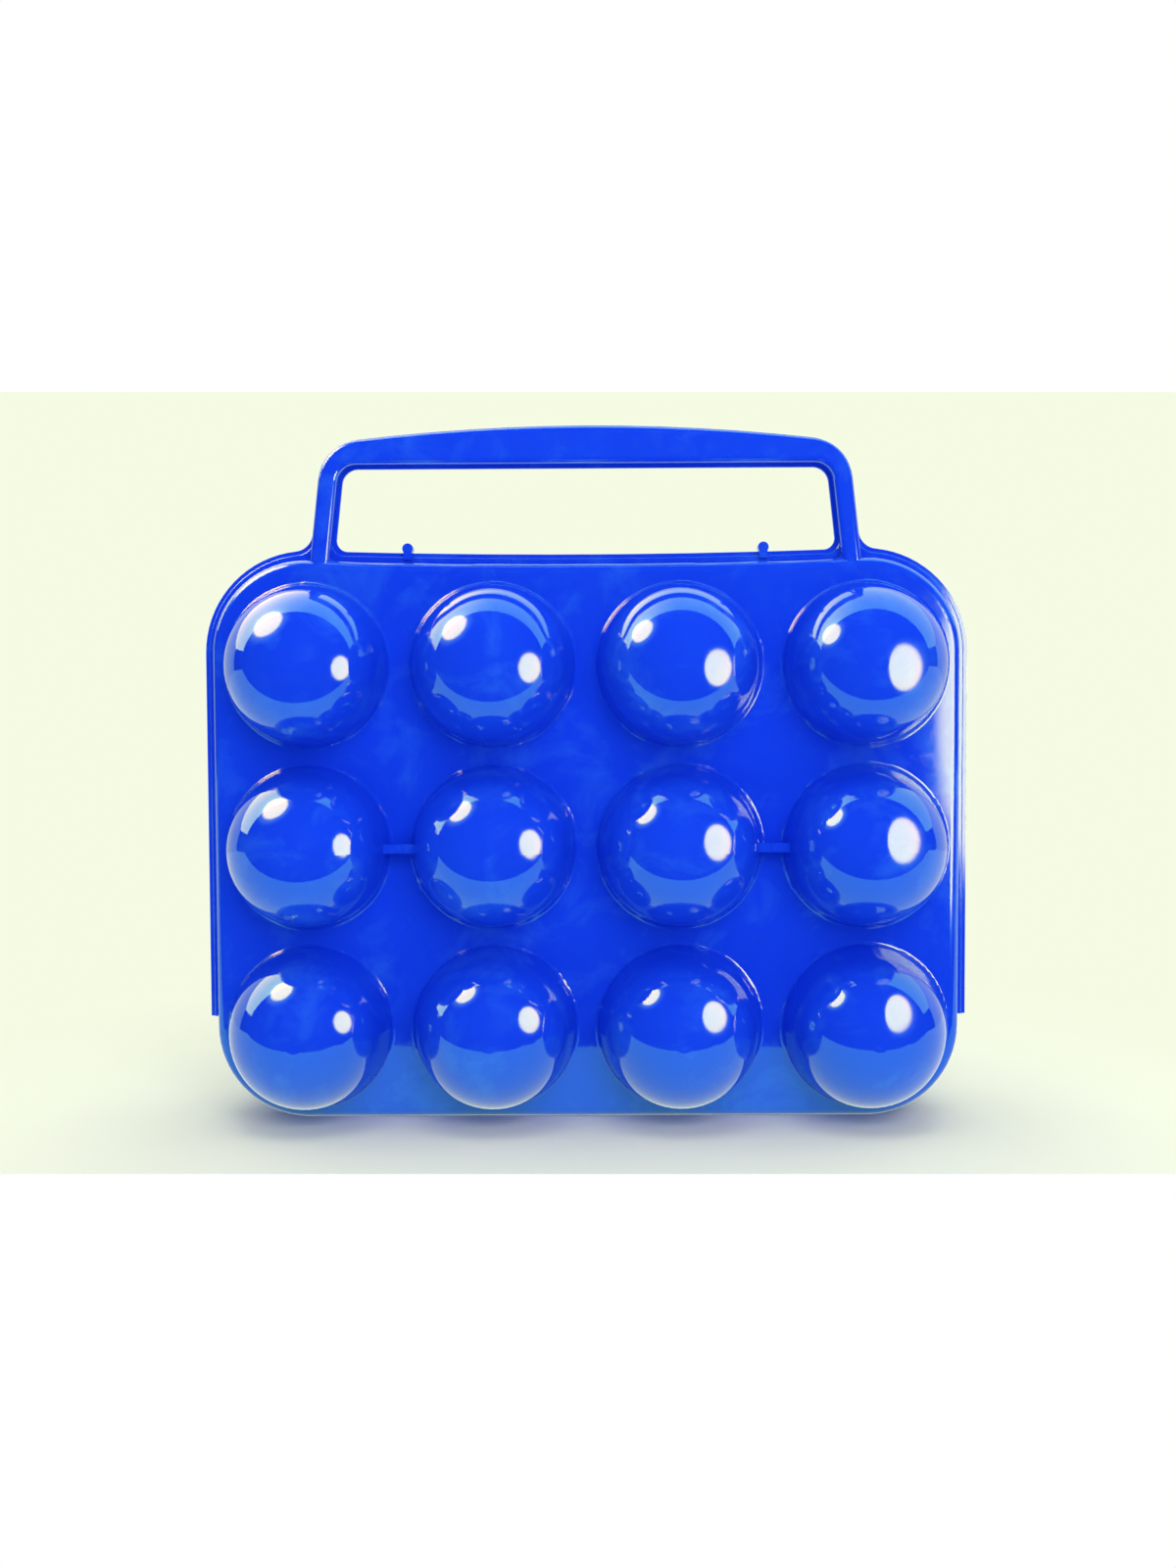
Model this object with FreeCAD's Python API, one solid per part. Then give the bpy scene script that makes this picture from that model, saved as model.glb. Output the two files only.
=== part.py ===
import FreeCAD, Part
import math
import os

from FreeCAD import Vector

# Egg carrier for twelve eggs: two moulded plastic halves that meet face to face and
# open about a thin hinge along the bottom edge. Millimetres. X runs across the front,
# Z is up, Y = 0 is the parting plane and the front half lies on the -Y side.

# Egg cups: each is a drafted cone that runs tangent into a round end
columns = 4
rows = 3
cup_radius = 19.7
cup_centre_depth = 7.5
cup_draft = 10.0
cup_foot_radius = 1.0
cup_mouth_radius = 1.2
column_gap = 5.59729
row_gap = 4.54729
side_land = 0.998645
bottom_land = 0.323645
top_land = 3.623645

# Body of each half, a shallow tray whose size follows from the cups
wall = 1.5
panel_depth = 6.5
edge_radius = 2.5
corner_radius = 24.0
top_sag = 1.3

# Rims that meet at the parting plane
front_rim_reach = 1.7
front_rim_thickness = 1.3
back_rim_reach = 2.8
back_rim_thickness = 1.5
rim_edge_radius = 0.4
rim_end_rise = 2.0

# Carrying handle, half of it on each side; heights are above the body's top corners
leg_inset = 3.15
leg_width = 4.85
leg_level = 13.0
handle_splay = 6.4
handle_rise = 34.2
handle_crown_radius = 524.0
handle_corner_radius = 11.0
grip_height = 9.5
grip_corner_radius = 5.0
handle_depth = 5.8
handle_edge_radius = 1.5
handle_wall = 1.3
handle_rim_reach = 0.8
leg_root_depth = 8.0
outer_root_radius = 5.0
inner_root_radius = 3.0
deep_root_radius = 1.6

# Catches on the back rim that snap over the front rim, between the outer pairs of cups
catch_inset = 1.85
catch_head_radius = 1.4
catch_head_rise = 1.0
catch_nose_width = 2.2
catch_nose_thickness = 0.9
catch_nose_drop = 0.7
catch_clearance = 0.15

# Moulding gates between the cups, and the round insert mark on the panel
gate_thickness = 2.4
gate_height = 6.5
gate_pip_radius = 0.9
gate_pip_rise = 0.5
insert_radius = 7.0
insert_step = 0.15

# Thin hinge along the bottom
hinge_inset = 3.2
hinge_film = 0.5
hinge_film_width = 1.2

draft = math.radians(cup_draft)
splay = math.radians(handle_splay)


def cone_radius(radius, depth):
    """Radius of a cup's drafted side at a depth, for a cup of the given end radius."""
    tangent_depth = panel_depth + cup_centre_depth + radius * math.sin(draft)
    return radius * math.cos(draft) + (tangent_depth - depth) * math.tan(draft)


cup_foot = cone_radius(cup_radius, panel_depth)
column_pitch = 2 * cup_foot + column_gap
row_pitch = 2 * cup_foot + row_gap
lowest_row = edge_radius + bottom_land + cup_foot
body_half_width = (columns - 1) / 2.0 * column_pitch + cup_foot + side_land + edge_radius
body_height = lowest_row + (rows - 1) * row_pitch + cup_foot + top_land + edge_radius

corner_x = body_half_width - corner_radius
top_corner_z = body_height - corner_radius
sag_radius = corner_x ** 2 / (2.0 * top_sag)
sag_centre_z = top_corner_z + math.sqrt((sag_radius + corner_radius) ** 2 - corner_x ** 2)
rim_foot = corner_radius + rim_end_rise
handle_outer = corner_x - leg_inset
handle_inner = handle_outer - leg_width
handle_level = body_height + leg_level
handle_top = body_height + handle_rise
grip_underside = handle_top - grip_height
handle_foot = body_height - leg_root_depth
catch_x = column_pitch - catch_inset
hinge_half_length = corner_x - hinge_inset
far = 4 * body_half_width


def at(x, z, y=0.0):
    return Vector(x, y, z)


def arc(centre, start, end, side):
    """Arc from start to end about centre, bulging towards the direction side."""
    radius = (start - centre).Length
    middle = centre + side.normalize() * radius
    return Part.Arc(start, middle, end).toShape()


def line(start, end):
    return Part.LineSegment(start, end).toShape()


def outline(edges):
    """The loose edges of one closed outline, put in order."""
    return Part.sortEdges(edges)[0]


def prism(edges, near, distance):
    """Solid from a closed outline in the XZ plane, from Y = near to Y = -distance."""
    face = Part.Face(Part.Wire(edges))
    face.translate(Vector(0, -near, 0))
    return face.extrude(Vector(0, near - distance, 0))


def block(x0, x1, y0, y1, z0, z1):
    return Part.makeBox(x1 - x0, y1 - y0, z1 - z0, Vector(x0, y0, z0))


def peg(radius, x, z, front, back):
    """Round peg along Y at (x, z), from Y = -front to Y = back."""
    return Part.makeCylinder(radius, front + back, at(x, z, -front), Vector(0, 1, 0))


def mirrored(edges):
    return [edge.mirror(Vector(0, 0, 0), Vector(1, 0, 0)) for edge in edges]


def body_edges(grow):
    """Rounded body outline grown outwards: flat bottom, top edge sagging in the middle."""
    radius = corner_radius + grow
    side = body_half_width + grow
    sag_centre = at(0, sag_centre_z)
    top = at(corner_x, top_corner_z)
    low = at(corner_x, corner_radius)
    crown = top + (sag_centre - top).normalize() * radius
    left_crown = at(-crown.x, crown.z)
    right = [
        line(at(0, -grow), at(corner_x, -grow)),
        arc(low, at(corner_x, -grow), at(side, corner_radius), at(1, -1)),
        line(at(side, corner_radius), at(side, top_corner_z)),
        arc(top, at(side, top_corner_z), crown, at(side, top_corner_z) + crown - top * 2),
    ]
    sag = arc(sag_centre, crown, left_crown, at(0, -1))
    return outline(right + mirrored(right) + [sag])


def leg_line(offset):
    """A point on the right leg's outer line moved outwards by offset, and its directions."""
    outwards = at(math.cos(splay), math.sin(splay))
    upwards = at(-math.sin(splay), math.cos(splay))
    return at(handle_outer, handle_level) + outwards * offset, upwards, outwards


def inner_leg_line(offset):
    """A point on the right leg's inner line moved into the grip opening by offset."""
    outwards = at(math.cos(splay), math.sin(splay))
    upwards = at(-math.sin(splay), math.cos(splay))
    return at(handle_inner, handle_level) - outwards * offset, upwards, outwards


def at_height(point, direction, z):
    return point + direction * ((z - point.z) / direction.z)


def on_circle(point, direction, centre, radius, pick):
    """Where the line through point meets the circle; pick +1 is further along direction."""
    reach = point - centre
    along = reach.dot(direction)
    root = math.sqrt(along ** 2 - reach.dot(reach) + radius ** 2)
    return point + direction * (pick * root - along)


def handle_edges(grow):
    """Arch of the handle, its band grown by grow on both sides, with its feet in the body."""
    crown_centre = at(0, handle_top - handle_crown_radius)
    start, up, out = leg_line(-handle_corner_radius)
    corner = on_circle(start, up, crown_centre, handle_crown_radius - handle_corner_radius, 1)
    shoulder = corner + out * (handle_corner_radius + grow)
    crown = crown_centre + (corner - crown_centre).normalize() * (handle_crown_radius + grow)
    outer_foot = at_height(shoulder, up, handle_foot)
    start, up, out = inner_leg_line(grip_corner_radius)
    grip_corner = at_height(start, up, grip_underside - grip_corner_radius)
    grip_side = grip_corner + out * (grip_corner_radius - grow)
    grip_end = grip_corner + at(0, grip_corner_radius - grow)
    inner_foot = at_height(grip_side, up, handle_foot)
    right = [
        line(outer_foot, shoulder),
        arc(corner, shoulder, crown, at(1, 1)),
        line(inner_foot, outer_foot),
        line(inner_foot, grip_side),
        arc(grip_corner, grip_side, grip_end, at(1, 1)),
        line(grip_end, at(0, grip_end.z)),
    ]
    left_crown = at(-crown.x, crown.z)
    top = arc(crown_centre, crown, left_crown, at(0, 1))
    return outline(right + mirrored(right) + [top])


def root_prisms(body_grow, handle_grow, outer_radius, inner_radius, depth):
    """Rounded roots where the legs spring from the body, as four small gussets."""
    start, up, out = leg_line(handle_grow + outer_radius)
    corner_centre = at(corner_x, top_corner_z)
    centre = on_circle(start, up, corner_centre, corner_radius + body_grow + outer_radius, 1)
    on_leg = centre - out * outer_radius
    on_body = centre + (corner_centre - centre).normalize() * outer_radius
    buried = at_height(on_leg - out * wall, up, handle_foot)
    outer = [arc(centre, on_leg, on_body, buried - centre), line(on_body, buried), line(buried, on_leg)]
    start, up, out = inner_leg_line(handle_grow + inner_radius)
    sag_centre = at(0, sag_centre_z)
    centre = on_circle(start, up, sag_centre, sag_radius - body_grow - inner_radius, -1)
    on_leg = centre + out * inner_radius
    on_body = centre + (centre - sag_centre).normalize() * inner_radius
    buried = at_height(on_leg + out * wall, up, handle_foot)
    inner = [arc(centre, on_leg, on_body, buried - centre), line(on_body, buried), line(buried, on_leg)]
    solids = []
    for edges in (outer, inner):
        gusset = prism(outline(edges), 0, depth)
        solids.append(gusset)
        solids.append(gusset.mirror(Vector(0, 0, 0), Vector(1, 0, 0)))
    return solids


def cup_solid(radius, foot_depth):
    """Domed cup about the Y axis: a drafted cone that runs tangent into a round end."""
    centre_depth = panel_depth + cup_centre_depth
    tangent_r = radius * math.cos(draft)
    tangent_depth = centre_depth + radius * math.sin(draft)
    foot_r = cone_radius(radius, foot_depth)
    halfway = math.radians((90.0 + cup_draft) / 2.0)
    half_r = radius * math.cos(halfway)
    half_depth = centre_depth + radius * math.sin(halfway)
    foot_middle = Vector(0, -foot_depth, 0)
    foot = Vector(foot_r, -foot_depth, 0)
    tangent = Vector(tangent_r, -tangent_depth, 0)
    tip = Vector(0, -centre_depth - radius, 0)
    profile = [
        line(foot_middle, foot),
        line(foot, tangent),
        Part.Arc(tangent, Vector(half_r, -half_depth, 0), tip).toShape(),
        line(tip, foot_middle),
    ]
    return Part.Face(Part.Wire(profile)).revolve(Vector(0, 0, 0), Vector(0, 1, 0), 360)


def cup_places():
    places = []
    for row in range(rows):
        for column in range(columns):
            x = (column - (columns - 1) / 2.0) * column_pitch
            places.append((x, lowest_row + row * row_pitch))
    return places


def cups(radius, foot_depth):
    cup = cup_solid(radius, foot_depth)
    return [cup.translated(at(x, z)) for x, z in cup_places()]


def ring_edges(solid, depth, radius, slack):
    """Edges that lie around a cup's foot, near the given depth and distance from its axis."""
    found = []
    for edge in solid.Edges:
        middle = edge.valueAt((edge.FirstParameter + edge.LastParameter) / 2.0)
        box = edge.BoundBox
        if box.YMin < -depth - slack or box.YMax > -depth + slack:
            continue
        for x, z in cup_places():
            reach = math.hypot(middle.x - x, middle.z - z)
            if abs(reach - radius) < slack:
                found.append(edge)
                break
    return found


def front_edges(solid, depth):
    """Edges that lie in the plane Y = -depth."""
    found = []
    for edge in solid.Edges:
        box = edge.BoundBox
        if abs(box.YMin + depth) < 0.001 and abs(box.YMax + depth) < 0.001:
            found.append(edge)
    return found


def gates():
    """Gate ribs that bridge the saddles beside the middle row, each with its broken pip."""
    solids = []
    z = lowest_row + row_pitch
    reach = column_pitch / 2.0 - cup_radius + wall
    front = panel_depth + gate_height
    for x in (-column_pitch, column_pitch):
        rib = block(x - reach, x + reach, -front, -panel_depth + wall / 2.0,
                    z - gate_thickness / 2.0, z + gate_thickness / 2.0)
        pip = peg(gate_pip_radius, x, z, front + gate_pip_rise, wall - front)
        solids += [rib, pip]
    return solids


def insert_mark():
    """Faint round witness left by a mould insert in the middle of four cups."""
    z = lowest_row + row_pitch / 2.0
    return peg(insert_radius, 0, z, panel_depth + insert_step, wall / 2.0 - panel_depth)


def rim(body_grow, handle_grow, thickness):
    """Flange around the sides, the top and the handle, ending above the bottom corners."""
    plate = prism(body_edges(body_grow), 0, thickness)
    keep = block(-far, far, -far, far, rim_foot, far)
    plate = plate.common(keep)
    arch = prism(handle_edges(handle_grow), 0, thickness)
    roots = root_prisms(body_grow, handle_grow, outer_root_radius, inner_root_radius, thickness)
    solid = plate.fuse([arch] + roots).removeSplitter()
    return solid.makeFillet(rim_edge_radius, front_edges(solid, thickness))


def outside(body_grow, handle_grow, rim_thickness):
    """The half as if it were filled in, lying on the -Y side of the parting plane."""
    body = prism(body_edges(0), 0, panel_depth)
    body = body.makeFillet(edge_radius, front_edges(body, panel_depth))
    body = body.fuse(cups(cup_radius, panel_depth / 2.0)).removeSplitter()
    body = body.makeFillet(cup_foot_radius, ring_edges(body, panel_depth, cup_foot, cup_foot_radius))
    arch = prism(handle_edges(0), 0, handle_depth)
    arch = arch.makeFillet(handle_edge_radius, front_edges(arch, handle_depth))
    roots = root_prisms(0, 0, deep_root_radius, deep_root_radius, handle_depth - handle_edge_radius)
    parts = [arch] + roots + [rim(body_grow, handle_grow, rim_thickness)] + gates() + [insert_mark()]
    return body.fuse(parts).removeSplitter()


def inside():
    """The space inside the half: tray, cups, handle channel and the groove over the hinge."""
    floor = panel_depth - wall
    tray = prism(body_edges(-wall), 0, floor)
    tray = tray.makeFillet(edge_radius - wall, front_edges(tray, floor))
    tray = tray.fuse(cups(cup_radius - wall, floor / 2.0)).removeSplitter()
    mouth = cone_radius(cup_radius - wall, floor)
    tray = tray.makeFillet(cup_mouth_radius, ring_edges(tray, floor, mouth, cup_mouth_radius / 2.0))
    channel = prism(handle_edges(-handle_wall), 0, handle_depth - handle_wall)
    groove = prism(body_edges(-hinge_film), 0, hinge_film_width)
    groove = groove.common(block(-hinge_half_length, hinge_half_length, -far, far, -far, 2 * wall))
    return tray.fuse([channel, groove]).removeSplitter()


def half(body_grow, handle_grow, rim_thickness):
    return outside(body_grow, handle_grow, rim_thickness).cut(inside())


def rim_top(x, grow):
    """Height of the rim's top edge at a distance x from the middle."""
    return sag_centre_z - math.sqrt((sag_radius - grow) ** 2 - x ** 2)


def catches():
    """Round-headed catches that stand on the back rim and hook over the front rim."""
    solids = []
    head_z = rim_top(catch_x, back_rim_reach) + catch_head_rise
    front = front_rim_thickness + catch_clearance + catch_nose_thickness
    nose_z = rim_top(catch_x, front_rim_reach) - catch_nose_drop
    for x in (-catch_x, catch_x):
        left = x - catch_nose_width / 2.0
        right = x + catch_nose_width / 2.0
        head = peg(catch_head_radius, x, head_z, front, back_rim_thickness)
        nose = block(left, right, -front, -front + catch_nose_thickness, nose_z, head_z)
        neck = block(left, right, 0, back_rim_thickness, rim_top(catch_x, 0), head_z)
        solids += [head, nose, neck]
    return solids


def back_shell():
    shell = half(back_rim_reach, handle_rim_reach, back_rim_thickness)
    shell = shell.mirror(Vector(0, 0, 0), Vector(0, 1, 0))
    return shell.fuse(catches()).removeSplitter()


def front_shell():
    return half(front_rim_reach, 0, front_rim_thickness)


def main():
    os.makedirs("parts", exist_ok=True)
    for name, make in (("back_shell", back_shell), ("front_shell", front_shell)):
        shape = make()
        solid = shape.Solids[0]
        print(name, "solids", len(shape.Solids), "valid", solid.isValid(),
              "volume cm3", round(solid.Volume / 1000.0, 2), solid.BoundBox)
        solid.exportStep("parts/" + name + ".step")


main()
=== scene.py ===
import math

import bpy
from mathutils import Matrix, Vector

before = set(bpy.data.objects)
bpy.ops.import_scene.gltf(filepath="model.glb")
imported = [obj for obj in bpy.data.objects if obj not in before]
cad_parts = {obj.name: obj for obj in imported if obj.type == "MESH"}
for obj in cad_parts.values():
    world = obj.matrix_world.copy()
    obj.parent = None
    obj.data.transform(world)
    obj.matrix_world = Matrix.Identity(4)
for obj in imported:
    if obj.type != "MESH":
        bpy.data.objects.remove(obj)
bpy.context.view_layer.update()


# Places and sizes in metres, angles in degrees. The object stands on Z = 0 with its front
# towards -Y.

# Camera, fitted to the object's outline in the photo
CAMERA_PLACE = (0.0036, -0.4587, 0.1104)
CAMERA_PITCH = -2.89
CAMERA_TURN = 0.40
CAMERA_ROLL = -0.267
CAMERA_LENS = 39.96
CAMERA_NEAR = 0.01
PICTURE_LONG_SIDE = 36.0

# The photo is cream between two level rows of the picture and white beyond them. A row is
# given by the slope at which the camera sees it.
CREAM = (0.914, 0.965, 0.768)
WHITE = (1.0, 1.0, 1.0)
BLACK = (0.0, 0.0, 0.0)
TOP_ROW = 0.2252
LOW_ROW = -0.2241

# Stage: a cream floor up to the backdrop, with a white part in front. The floor turns from
# matt into plain cream between two distances from the object.
STAGE_REACH = 2.0
STAGE_FRONT = -1.0
TABLE_FRONT = -0.100
BACKDROP = 0.6
FLOOR_TONE = 0.94
FLOOR_IN_GLOSS = 1.3
FLOOR_FADE_START = 0.13
FLOOR_FADE_END = 0.24

# Ceiling that shows in the gloss alone, brighter to the left
CEILING_HEIGHT = 0.6
CEILING_FRONT = -0.07
CEILING_LEFT = (7.0, 4.5, 2.0)
CEILING_RIGHT = (1.5, 1.8, 1.0)
CEILING_LEFT_EDGE = -0.45
CEILING_RIGHT_EDGE = 0.05

# Glow cards: name, place, point that it faces, radius of the core, radius of the halo. The
# colours go above 1 where the photo burns out, and the edges are shares of the core's radius.
GLOW_CARDS = (
    ("glow_right", (0.138, -0.112, 0.101), (-0.072, -0.060, 0.095), 0.062, 0.085),
    ("glow_left", (-0.235, -0.080, 0.335), (0.0, -0.02, 0.075), 0.088, 0.15),
)
CORE_COLOUR = (30.0, 7.2, 2.0)
CORE_EDGE_START = 0.88
CORE_EDGE_END = 1.12
HALO_COLOUR = (3.0, 2.5, 1.0)
HALO_EDGE_START = 0.6

# Lamps: name, place, point that it faces, side, watts
LAMPS = (
    ("front", (0.25, -1.1, 0.55), (0.0, 0.0, 0.08), 0.8, 8.0),
    ("top", (0.0, -0.05, 1.0), (0.0, 0.0, 0.05), 0.7, 3.6),
)
AMBIENT = 0.45

# Moulded plastic: two blues that swirl into each other, with paler smears
BLUE_DARK = (0.0060, 0.046, 0.78)
BLUE_LIGHT = (0.0068, 0.060, 0.85)
BLUE_SMEAR = (0.020, 0.125, 0.87)
SWIRL = {"Scale": 38.0, "Detail": 4.0, "Distortion": 1.2}
SMEARS = {"Scale": 62.0, "Detail": 5.0, "Roughness": 0.62, "Distortion": 0.6}
SMEAR_RANGE = {"From Min": 0.52, "From Max": 0.70, "To Max": 0.6}
SCUFFS = {"Scale": 160.0, "Detail": 6.0, "Distortion": 2.5}
SCUFF_RANGE = {"From Min": 0.45, "From Max": 0.8, "To Min": 0.035, "To Max": 0.14}
WAVES = {"Scale": 30.0, "Detail": 2.0}
WAVE_STRENGTH = 0.35
WAVE_HEIGHT = 0.0004
GLOSS = {"IOR": 1.5, "Specular IOR Level": 1.0, "Specular Tint": (0.27, 1.0, 0.3, 1.0)}


class Graph:
    """Node tree of a material or a world, built from nothing."""

    def __init__(self, owner):
        owner.use_nodes = True
        self.owner = owner
        self.nodes = owner.node_tree.nodes
        self.links = owner.node_tree.links
        self.nodes.clear()

    def add(self, kind, inputs, **settings):
        """Adds a node and returns its outputs. An input is a value or another node's output."""
        node = self.nodes.new("ShaderNode" + kind)
        for name, value in settings.items():
            setattr(node, name, value)
        for socket, value in inputs.items():
            if isinstance(value, bpy.types.NodeSocket):
                self.links.new(value, node.inputs[socket])
            else:
                node.inputs[socket].default_value = value
        return node.outputs

    def place(self):
        """Point that is shaded, in the axes of its own object."""
        return self.add("TexCoord", {})["Object"]

    def noise(self, values):
        return self.add("TexNoise", {"Vector": self.place(), **values})["Fac"]

    def calculate(self, operation, first, second):
        return self.add("Math", {0: first, 1: second}, operation=operation)["Value"]

    def distance(self):
        """Distance of that point from its object's origin."""
        return self.add("VectorMath", {0: self.place()}, operation="LENGTH")["Value"]

    def fade(self, value, start, end, first=0.0, last=1.0):
        """Goes softly from one number to another while the value goes from start to end."""
        before = {"Value": value, "From Min": start, "From Max": end}
        after = {"To Min": first, "To Max": last}
        settings = {"interpolation_type": "SMOOTHSTEP"}
        return self.add("MapRange", {**before, **after}, **settings)["Result"]

    def mix(self, factor, first, second):
        inputs = {"Factor": factor, "A": first, "B": second}
        return self.add("Mix", inputs, data_type="RGBA")["Result"]

    def mix_shaders(self, factor, first, second):
        return self.add("MixShader", {"Fac": factor, 1: first, 2: second})["Shader"]

    def emission(self, colour, strength=1.0):
        return self.add("Emission", {"Color": colour, "Strength": strength})["Emission"]

    def above_row(self, row):
        """Factor that is 0 below a level row of the picture and 1 above it."""
        view = bpy.context.scene.camera.matrix_world
        upright = view.col[1].xyz + view.col[2].xyz * row
        height = self.add("VectorMath", {0: self.place(), 1: upright}, operation="DOT_PRODUCT")
        return self.calculate("GREATER_THAN", height["Value"], upright.dot(view.translation))

    def finish(self, shader):
        """Makes the shader the surface and returns what the tree belongs to."""
        kind = "OutputWorld" if isinstance(self.owner, bpy.types.World) else "OutputMaterial"
        self.add(kind, {"Surface": shader})
        return self.owner


def opaque(colour, tone=1.0):
    """Colour times a tone, with the fourth number that nodes want."""
    return (*[tone * part for part in colour], 1.0)


def plastic():
    """Glossy moulded plastic: slow swirls of tone, pale smears, a faint waviness and scuffs."""
    graph = Graph(bpy.data.materials.new("glossy_blue_plastic"))
    tone = graph.mix(graph.noise(SWIRL), opaque(BLUE_DARK), opaque(BLUE_LIGHT))
    smears = graph.add("MapRange", {"Value": graph.noise(SMEARS), **SMEAR_RANGE})["Result"]
    scuffs = graph.add("MapRange", {"Value": graph.noise(SCUFFS), **SCUFF_RANGE})["Result"]
    waves = {"Height": graph.noise(WAVES), "Strength": WAVE_STRENGTH, "Distance": WAVE_HEIGHT}
    surface = {
        "Base Color": graph.mix(smears, tone, opaque(BLUE_SMEAR)),
        "Roughness": scuffs,
        "Normal": graph.add("Bump", waves)["Normal"],
    }
    return graph.finish(graph.add("BsdfPrincipled", {**surface, **GLOSS})["BSDF"])


def backdrop_material():
    """Shows its colour as it is written, whatever light falls on it."""
    graph = Graph(bpy.data.materials.new("cream_backdrop"))
    colour = graph.mix(graph.above_row(TOP_ROW), opaque(CREAM), opaque(WHITE))
    return graph.finish(graph.emission(colour))


def front_material():
    """White near part of the floor."""
    graph = Graph(bpy.data.materials.new("white_front"))
    return graph.finish(graph.emission(opaque(WHITE)))


def floor_material():
    """Matt cream floor that keeps the object's shadow and fades into plain cream.

    The camera sees it white below the low row, and gloss sees it as plain cream.
    """
    graph = Graph(bpy.data.materials.new("pale_floor"))
    path = graph.add("LightPath", {})
    matt = graph.add("BsdfDiffuse", {"Color": opaque(CREAM, FLOOR_TONE)})["BSDF"]
    above = graph.above_row(LOW_ROW)
    plain = graph.emission(graph.mix(above, opaque(WHITE), opaque(CREAM)))
    away = graph.fade(graph.distance(), FLOOR_FADE_START, FLOOR_FADE_END)
    bare = graph.calculate("MAXIMUM", graph.calculate("SUBTRACT", 1.0, above), away)
    seen = graph.calculate("MULTIPLY", path["Is Camera Ray"], bare)
    shown = graph.mix_shaders(seen, matt, plain)
    in_gloss = graph.emission(opaque(CREAM), FLOOR_IN_GLOSS)
    return graph.finish(graph.mix_shaders(path["Is Glossy Ray"], shown, in_gloss))


def ceiling_material():
    """Light ceiling of the studio, brighter to the left."""
    graph = Graph(bpy.data.materials.new("light_ceiling"))
    across = graph.add("SeparateXYZ", {"Vector": graph.place()})["X"]
    side = graph.fade(across, CEILING_LEFT_EDGE, CEILING_RIGHT_EDGE)
    colour = graph.mix(side, opaque(CEILING_LEFT), opaque(CEILING_RIGHT))
    return graph.finish(graph.emission(colour))


def glow_material(name, core, halo):
    """Light that is strong in the core, weak in the halo and clear beyond it."""
    graph = Graph(bpy.data.materials.new(name))
    away = graph.distance()
    core_strength = graph.fade(away, CORE_EDGE_START * core, CORE_EDGE_END * core, 1.0, 0.0)
    halo_strength = graph.fade(away, HALO_EDGE_START * core, halo, 1.0, 0.0)
    core_light = graph.emission(opaque(CORE_COLOUR), core_strength)
    halo_light = graph.emission(opaque(HALO_COLOUR), halo_strength)
    light = graph.add("AddShader", {0: core_light, 1: halo_light})["Shader"]
    clear = graph.add("BsdfTransparent", {})["BSDF"]
    return graph.finish(graph.add("AddShader", {0: light, 1: clear})["Shader"])


def sheet(name, outline, material):
    """Flat four-sided piece of the stage."""
    mesh = bpy.data.meshes.new(name)
    mesh.from_pydata(outline, [], [(0, 1, 2, 3)])
    mesh.materials.append(material)
    thing = bpy.data.objects.new(name, mesh)
    bpy.context.scene.collection.objects.link(thing)
    return thing


def level_outline(front, back, height):
    """Corners of a level sheet from side to side of the stage."""
    return [(-STAGE_REACH, front, height), (STAGE_REACH, front, height),
            (STAGE_REACH, back, height), (-STAGE_REACH, back, height)]


def gloss_only(thing):
    """Leaves a thing to be seen in reflections alone."""
    thing.visible_camera = False
    thing.visible_diffuse = False
    thing.visible_shadow = False


def facing(place, target, axis):
    """Placement at a point with one axis towards another point."""
    turn = (Vector(target) - Vector(place)).to_track_quat(axis, "Y")
    return Matrix.Translation(place) @ turn.to_matrix().to_4x4()


def make_camera():
    data = bpy.data.cameras.new("camera")
    data.sensor_width = PICTURE_LONG_SIDE
    data.lens = CAMERA_LENS
    data.clip_start = CAMERA_NEAR
    camera = bpy.data.objects.new("camera", data)
    bpy.context.scene.collection.objects.link(camera)
    turn = Matrix.Rotation(math.radians(CAMERA_TURN), 4, "Z")
    pitch = Matrix.Rotation(math.radians(90.0 + CAMERA_PITCH), 4, "X")
    roll = Matrix.Rotation(math.radians(CAMERA_ROLL), 4, "Z")
    camera.matrix_world = Matrix.Translation(CAMERA_PLACE) @ turn @ pitch @ roll
    bpy.context.scene.camera = camera


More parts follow.
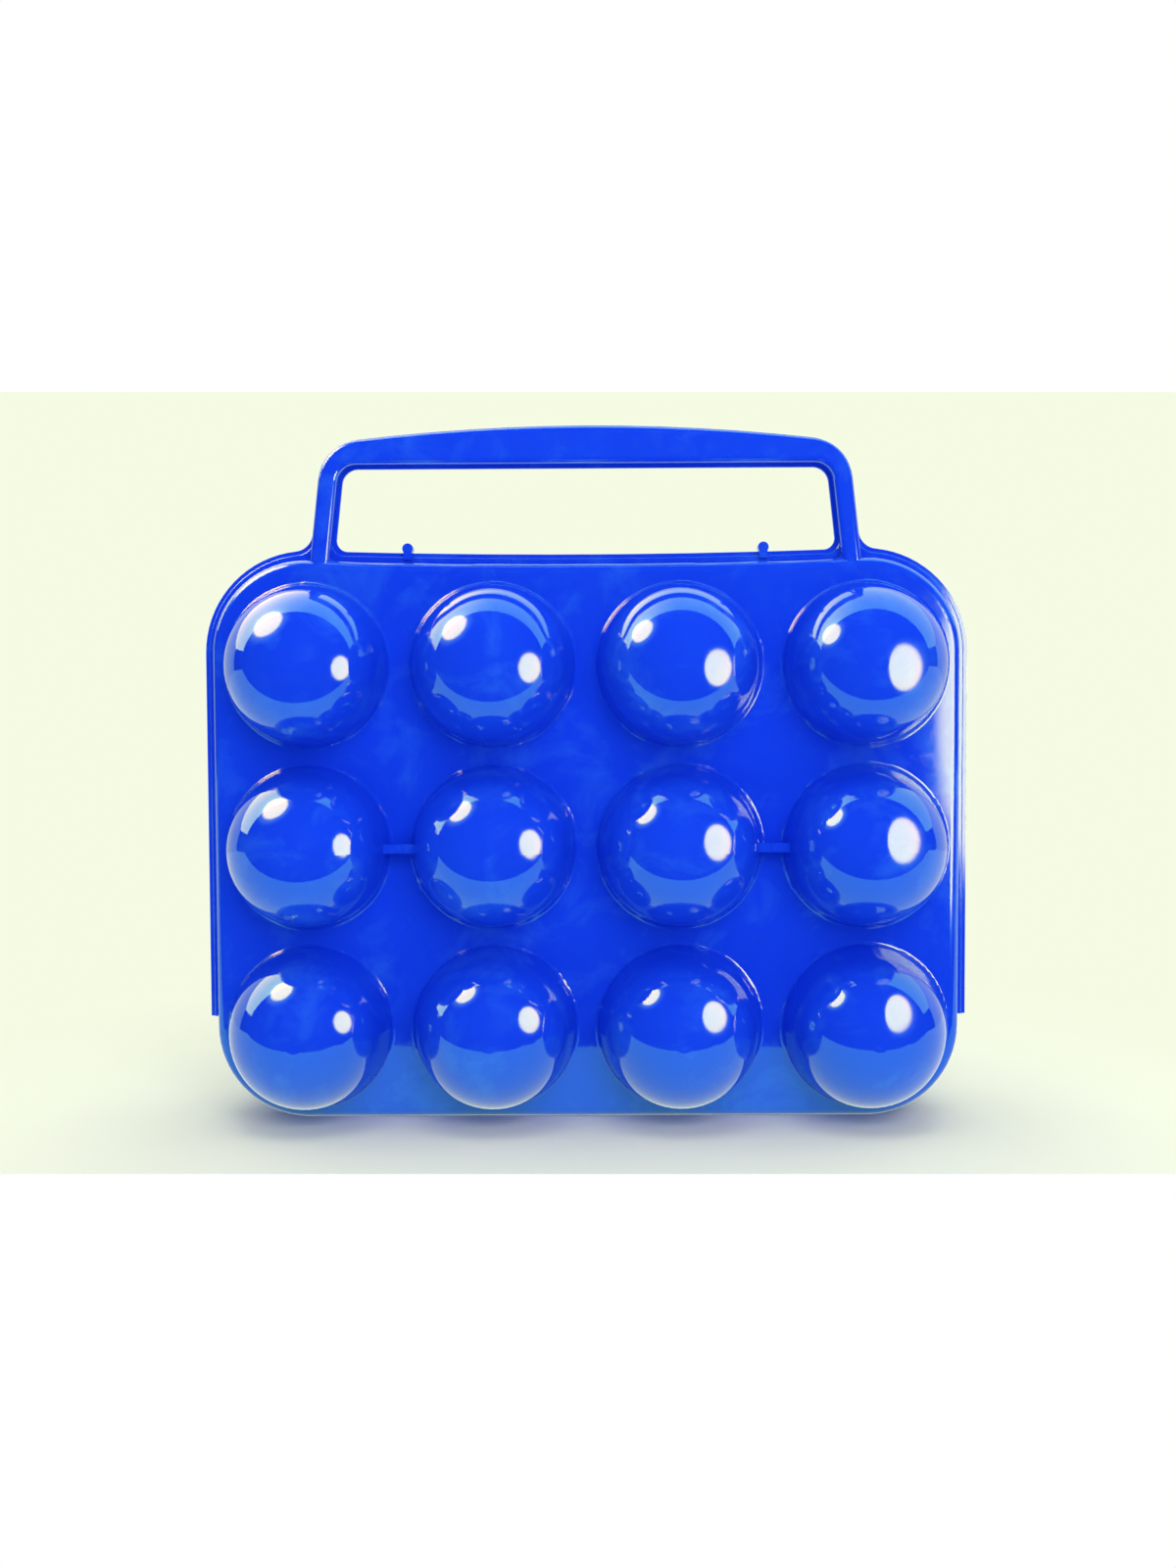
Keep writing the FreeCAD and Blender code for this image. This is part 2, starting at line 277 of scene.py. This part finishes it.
def make_stage():
    sheet("floor", level_outline(TABLE_FRONT, BACKDROP, 0.0), floor_material())
    upright = [(-STAGE_REACH, BACKDROP, 0.0), (STAGE_REACH, BACKDROP, 0.0),
               (STAGE_REACH, BACKDROP, STAGE_REACH), (-STAGE_REACH, BACKDROP, STAGE_REACH)]
    sheet("backdrop", upright, backdrop_material())
    front = sheet("floor_front", level_outline(STAGE_FRONT, TABLE_FRONT, 0.0), front_material())
    front.visible_glossy = False
    over = level_outline(CEILING_FRONT, BACKDROP, CEILING_HEIGHT)
    gloss_only(sheet("light_ceiling", over, ceiling_material()))


def make_lights():
    for name, place, target, side, watts in LAMPS:
        data = bpy.data.lights.new(name, "AREA")
        data.shape = "SQUARE"
        data.size = side
        data.energy = watts
        light = bpy.data.objects.new(name, data)
        bpy.context.scene.collection.objects.link(light)
        light.matrix_world = facing(place, target, "-Z")
        light.visible_glossy = False
    for name, place, target, core, halo in GLOW_CARDS:
        square = [(-halo, -halo, 0.0), (halo, -halo, 0.0), (halo, halo, 0.0), (-halo, halo, 0.0)]
        card = sheet(name, square, glow_material(name, core, halo))
        card.matrix_world = facing(place, target, "Z")
        gloss_only(card)


def make_world():
    """Soft light all round. The camera sees it cream and the gloss sees it black."""
    world = bpy.data.worlds.new("world")
    bpy.context.scene.world = world
    graph = Graph(world)
    path = graph.add("LightPath", {})
    ambient = graph.add("Background", {"Color": opaque(WHITE), "Strength": AMBIENT})["Background"]
    dark = graph.add("Background", {"Color": opaque(BLACK)})["Background"]
    plain = graph.add("Background", {"Color": opaque(CREAM)})["Background"]
    gloss = graph.mix_shaders(path["Is Glossy Ray"], ambient, dark)
    graph.finish(graph.mix_shaders(path["Is Camera Ray"], gloss, plain))


def finish_shells(material):
    """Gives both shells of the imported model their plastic."""
    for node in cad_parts.values():
        for slot in node.material_slots:
            slot.material = material
        if not node.material_slots:
            node.data.materials.append(material)


make_camera()
make_stage()
make_lights()
make_world()
finish_shells(plastic())
bpy.context.scene.view_settings.view_transform = "Standard"
